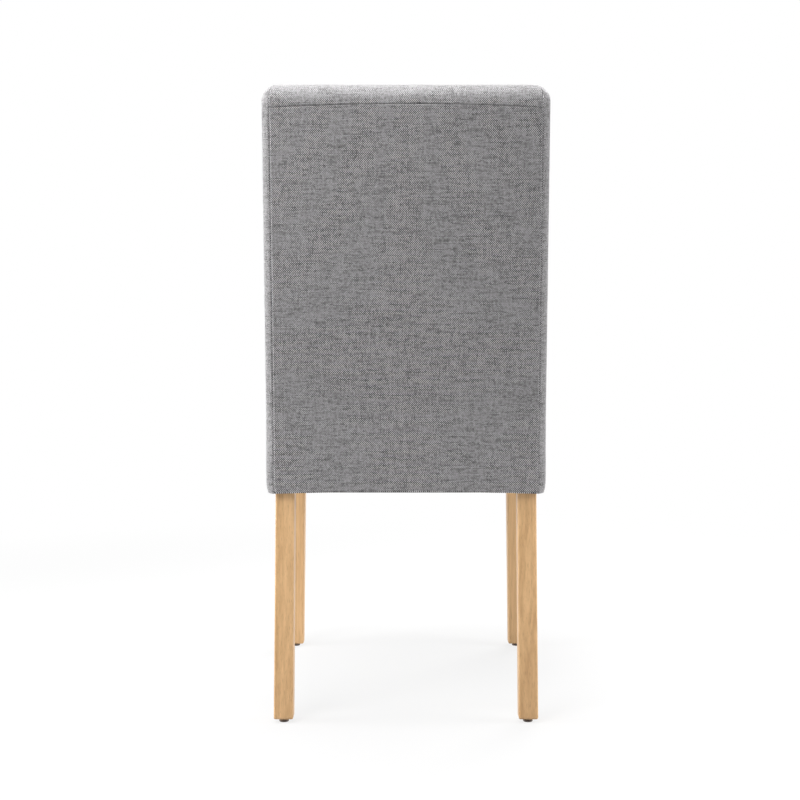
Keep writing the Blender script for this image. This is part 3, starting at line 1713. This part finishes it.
@dataclass
class DustCover:
    """Black cloth stretched under the seat and cut out round the legs."""

    front_y: float = -0.269
    rear_y: float = 0.209
    front_half: float = 0.2237
    rear_half: float = 0.2072
    level: float = 0.3537
    sag: float = 0.0022
    thickness: float = 0.0006
    columns: int = 60
    rows: int = 64
    sharp: float = math.radians(40)
    leg_cuts: tuple[tuple[float, Span], ...] = ((0.1912, (-0.29, -0.2347)), (0.1747, (0.1848, 0.25)))

    def build(self, cloth: bpy.types.Material) -> bpy.types.Object:
        """Make the cloth from a sheet.

        Args:
            cloth: Material of the cloth.

        Returns:
            The stretched sheet.
        """
        put_down()
        middle = (0, (self.front_y + self.rear_y) / 2, self.level)
        bpy.ops.mesh.primitive_grid_add(
            x_subdivisions=self.columns, y_subdivisions=self.rows, size=1, location=middle
        )
        sheet = bpy.context.object
        name_piece(sheet, "under_seat_cloth")
        sheet.scale = (2 * self.front_half, self.rear_y - self.front_y, 1)
        bpy.ops.object.transform_apply(location=True, rotation=True, scale=True)
        points = points_of(sheet)
        back = (points[:, 1] - self.front_y) / (self.rear_y - self.front_y)
        points[:, 0] *= 1 + back * (self.rear_half / self.front_half - 1)
        bow = np.cos(points[:, 0] / self.front_half * math.pi / 2) * np.sin(np.clip(back, 0, 1) * math.pi)
        points[:, 2] -= self.sag * np.clip(bow, 0, 1)
        move_points(sheet, points)
        for inner_x, span_y in self.leg_cuts:
            for side in Side:
                self.cut_leg(sheet, side, inner_x, span_y)
        add_modifier(sheet, "SOLIDIFY", thickness=self.thickness, offset=-1.0)
        take(sheet)
        bpy.ops.object.shade_smooth_by_angle(angle=self.sharp)
        dress(sheet, cloth)
        return sheet

    def cut_leg(self, sheet: bpy.types.Object, side: Side, inner_x: float, span_y: Span) -> None:
        """Cut the sheet away round one leg.

        Args:
            sheet: The cloth.
            side: Side of the leg.
            inner_x: Inner face of the leg, from the chair's middle.
            span_y: Front and rear of the cut.
        """
        planes = (
            ((side.value * inner_x, 0, 0), (side.value, 0, 0)),
            ((0, span_y[0], 0), (0, 1, 0)),
            ((0, span_y[1], 0), (0, 1, 0)),
        )
        for place, normal in planes:
            edit_all(sheet)
            bpy.ops.mesh.bisect(plane_co=place, plane_no=normal)
        put_down()
        middles = face_middles(sheet)
        gone = middles[:, 0] * side.value > inner_x
        gone &= (middles[:, 1] > span_y[0]) & (middles[:, 1] < span_y[1])
        edit(sheet, Pick.FACE, gone)
        bpy.ops.mesh.delete(type="FACE")
        put_down()


# Studio


@dataclass(frozen=True)
class SoftBox:
    """Lamp with a wide face."""

    name: str
    place: Triple
    aim: Triple
    size: Span
    power: float

    def hang(self) -> None:
        """Hang the lamp and point it at its aim."""
        put_down()
        bpy.ops.object.light_add(type="AREA", location=self.place)
        lamp = bpy.context.object
        lamp.name = self.name
        lamp.data.shape = "RECTANGLE"
        lamp.data.size, lamp.data.size_y = self.size
        lamp.data.energy = self.power
        lamp.visible_camera = False
        direction = np.array(self.aim) - np.array(self.place)
        flat = math.hypot(direction[0], direction[1])
        lamp.rotation_euler = (math.atan2(flat, -direction[2]), 0, math.atan2(-direction[0], direction[1]))


@dataclass
class Studio:
    """Floor, lamps, sky and camera."""

    floor_size: float = 14.0
    floor_steps: int = 8
    camera_y: float = 2.342
    camera_z: float = 0.6244
    pitch: float = math.radians(1.6)
    lens: float = 61.12
    sensor: float = 36
    shift: Span = (-0.0075, -0.0522)
    ambient: float = 0.06
    lamps: tuple[SoftBox, ...] = (
        SoftBox("top_box", (0.15, 0.1, 2.3), (0, 0.1, 0.6), (1.0, 0.8), 46),
        SoftBox("rear_box", (0.9, 1.2, 1.9), (0, 0.25, 0.6), (1.0, 1.0), 28),
        SoftBox("left_box", (1.95, 0.3, 0.75), (0, 0.2, 0.6), (0.8, 1.3), 36),
        SoftBox("right_box", (-1.95, 0.3, 0.75), (0, 0.2, 0.6), (0.8, 1.3), 36),
        SoftBox("front_box", (-0.9, -1.8, 1.5), (0, 0, 0.5), (1.2, 1.6), 46),
    )

    def lay_floor(self, finish: StudioFloor) -> None:
        """Lay the floor under the chair.

        Args:
            finish: Finish of the floor.
        """
        put_down()
        bpy.ops.mesh.primitive_grid_add(
            x_subdivisions=self.floor_steps, y_subdivisions=self.floor_steps, size=self.floor_size
        )
        floor = bpy.context.object
        floor.name = "studio_floor"
        dress(floor, finish.make())

    def light(self) -> None:
        """Hang the lamps and set a sky that looks white and lights the chair only a little."""
        for lamp in self.lamps:
            lamp.hang()
        world = bpy.data.worlds.new("studio_sky")
        bpy.context.scene.world = world
        bench = NodeBench(world, "OutputWorld")
        sky = bench.add("Background")
        sky.inputs["Color"].default_value = WHITE
        bench.feed(sky.inputs["Strength"], bench.spread(bench.seen_directly(), self.ambient, 1.0))
        bench.feed(bench.output.inputs["Surface"], sky.outputs[0])

    def set_camera(self) -> None:
        """Set the camera straight behind the chair."""
        put_down()
        bpy.ops.object.camera_add(
            location=(0, self.camera_y, self.camera_z), rotation=(math.pi / 2 - self.pitch, 0, math.pi)
        )
        camera = bpy.context.object
        camera.name = "studio_camera"
        camera.data.lens = self.lens
        camera.data.sensor_width = self.sensor
        camera.data.shift_x, camera.data.shift_y = self.shift
        bpy.context.scene.camera = camera

    def build(self) -> None:
        """Set up the whole studio."""
        self.lay_floor(StudioFloor())
        self.light()
        self.set_camera()
        bpy.context.scene.view_settings.view_transform = "Standard"


# Chair


@dataclass
class Chair:
    """The dressed chair on its frame."""

    cover: MelangeWeave = MelangeWeave()
    oak: Timber = Timber("oak", (0.735, 0.468, 0.234, 1), (0.53, 0.312, 0.141, 1), (0.29, 0.16, 0.068, 1))
    beech: Timber = Timber(
        "sawn_beech",
        (0.66, 0.49, 0.33, 1),
        (0.53, 0.37, 0.23, 1),
        (0.35, 0.22, 0.13, 1),
        stretch=(0.05, 1.0, 1.0),
        gloss=(0.6, 0.8),
        coat=0.0,
    )
    board: Speckled = Speckled("hardboard", (0.2, 0.12, 0.065, 1), (0.35, 0.23, 0.13, 1), 400.0, 0.0001)
    foam: Speckled = Speckled("seat_foam", (0.72, 0.66, 0.46, 1), (0.86, 0.81, 0.62, 1), 700.0, 0.0006)
    wadding: Speckled = Speckled(
        "wadding", (0.8, 0.8, 0.79, 1), (0.92, 0.92, 0.91, 1), 260.0, 0.0012, sheen=0.3
    )
    dust: Speckled = Speckled("non_woven", (0.012, 0.012, 0.013, 1), (0.035, 0.035, 0.037, 1), 900.0, 0.0002)
    nylon: Speckled = Speckled(
        "brown_nylon", (0.1, 0.076, 0.062, 1), (0.19, 0.15, 0.125, 1), 600.0, 0.00004, roughness=(0.4, 0.55)
    )
    zinc: Speckled = Speckled(
        "zinc_plate",
        (0.5, 0.5, 0.49, 1),
        (0.68, 0.68, 0.66, 1),
        300.0,
        0.00002,
        roughness=(0.28, 0.42),
        metallic=1.0,
    )
    foam_nodes: tuple[str, ...] = (
        "back_foam",
        "back_roll_foam",
        "back_side_foam_left",
        "back_side_foam_right",
        "seat_foam",
        "seat_border_foam",
    )

    def settle(self, piece: bpy.types.Object, node: str) -> None:
        """Let a piece stand for a solid and report it.

        Args:
            piece: The piece.
            node: Name of the solid's node.
        """
        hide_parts(node)
        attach(piece, "root")
        log.info("%s stands for %s, %d faces", piece.name, node, len(piece.data.polygons))

    def dress_frame(self) -> None:
        """Give each solid its finish, also those that soft pieces stand for later."""
        finishes = {
            "leg_oak": self.oak.make(),
            "frame_wood": self.beech.make(),
            "hardboard": self.board.make(),
            "glide_plastic": self.nylon.make(),
            "steel": self.zinc.make(),
        }
        slots = {
            "rear_post": "leg_oak",
            "front_leg": "leg_oak",
            "glide_nails": "steel",
            "glide_": "glide_plastic",
            "corner_block_screws": "steel",
            "leg_bolt": "steel",
            "back_board": "hardboard",
            "outside_back_board": "hardboard",
        }
        for name, node in frame["nodes"].items():
            slot = next((slot for start, slot in slots.items() if name.startswith(start)), "frame_wood")
            dress(node, finishes[slot])
            log.info("%s is finished in %s", name, slot)

    def build(self) -> None:
        """Build and dress everything on the frame."""
        self.dress_frame()
        cover = self.cover.make()
        back = BackUpholstery()
        for node, panel in (back.build(cover) | SeatUpholstery().build(cover)).items():
            self.settle(panel, node)
        foam, wadding = self.foam.make(), self.wadding.make()
        for node in self.foam_nodes:
            pad = InnerPad(node).build(foam)
            if node.startswith("back_"):
                back.keep_inside(pad)
            self.settle(pad, node)
        pad = InnerPad("outside_back_wadding", voxel=0.004, ease=0.0004).build(wadding)
        self.settle(pad, "outside_back_wadding")
        lengthwise = StrapWeb("webbing_long", False).make()
        crosswise = StrapWeb("webbing_cross", True).make()
        for node, strap in Webbing().build(lengthwise, crosswise).items():
            self.settle(strap, node)
        sheet = DustCover().build(self.dust.make())
        self.settle(sheet, "dust_cover")


def main() -> None:
    """Build the chair and its studio and note the sizes."""
    logging.basicConfig(level=logging.INFO, format="%(name)s: %(message)s")
    Chair().build()
    Studio().build()
    put_down()


if __name__ == "__main__":
    main()
